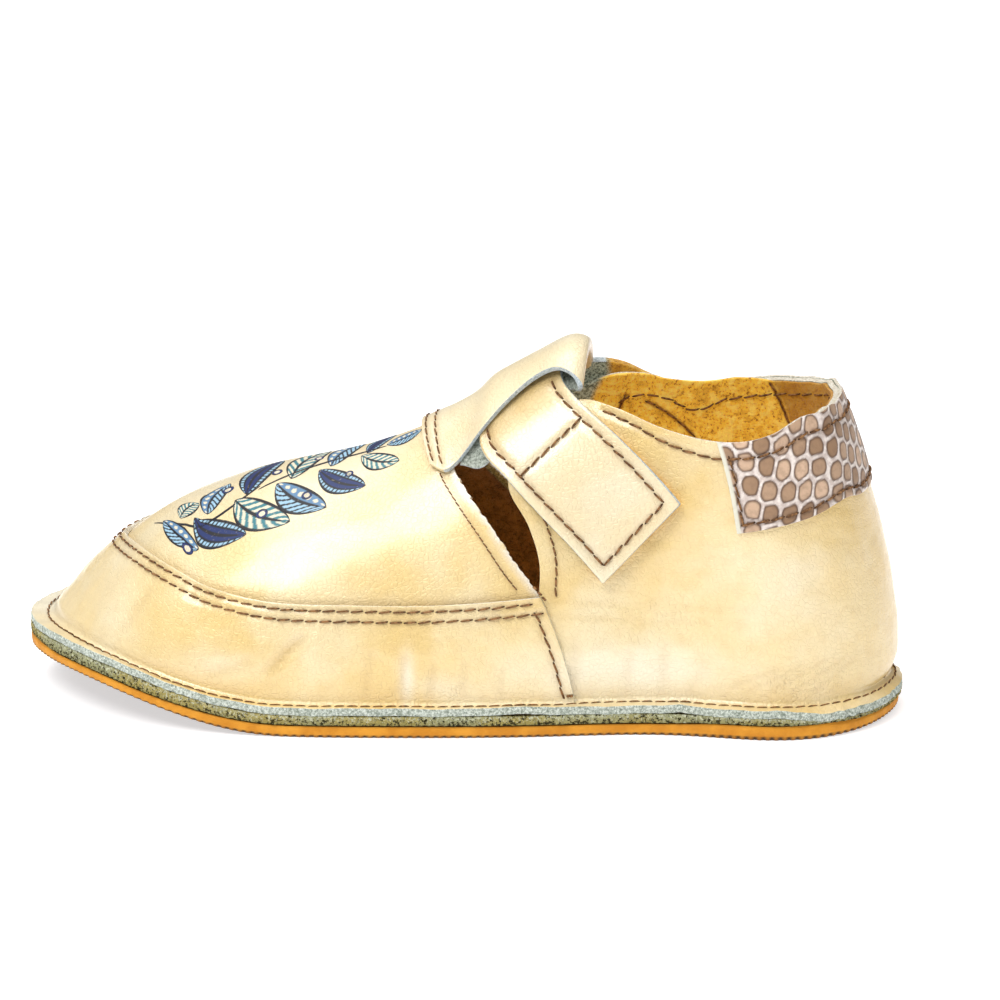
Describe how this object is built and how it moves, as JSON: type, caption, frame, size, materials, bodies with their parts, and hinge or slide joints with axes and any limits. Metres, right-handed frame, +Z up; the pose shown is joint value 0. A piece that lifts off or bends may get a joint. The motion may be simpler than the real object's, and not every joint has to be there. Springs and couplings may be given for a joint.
{
  "type": "barefoot shoe",
  "caption": "Child's soft leather T-bar barefoot shoe, left foot, stitched down on a flat rubber sole, with a hook-and-loop strap through a loop on the instep.",
  "frame": {"origin": "floor level under the middle of the sole's bounding box", "axes": "+X from toe to heel, +Y to the medial side (the big toe's side), +Z up"},
  "size_m": [0.1604, 0.0631, 0.0675],
  "materials": {
    "honey_rubber": "matt honey coloured rubber with a fine serrated edge",
    "grey_split_leather": "raw olive grey split leather, fuzzy cut edge",
    "ochre_suede": "mustard coloured suede",
    "cream_leather": "pale cream and gold leather with a soft pearly sheen, brown thread",
    "scale_print_leather": "taupe printed leather with a pale net pattern"
  },
  "bodies": {
    "root": {"outsole": "honey_rubber", "midsole": "grey_split_leather", "insole": "ochre_suede", "upper": "cream_leather", "t_bar": "cream_leather", "strap": "cream_leather", "heel_patch": "scale_print_leather"}
  },
  "joints": []
}
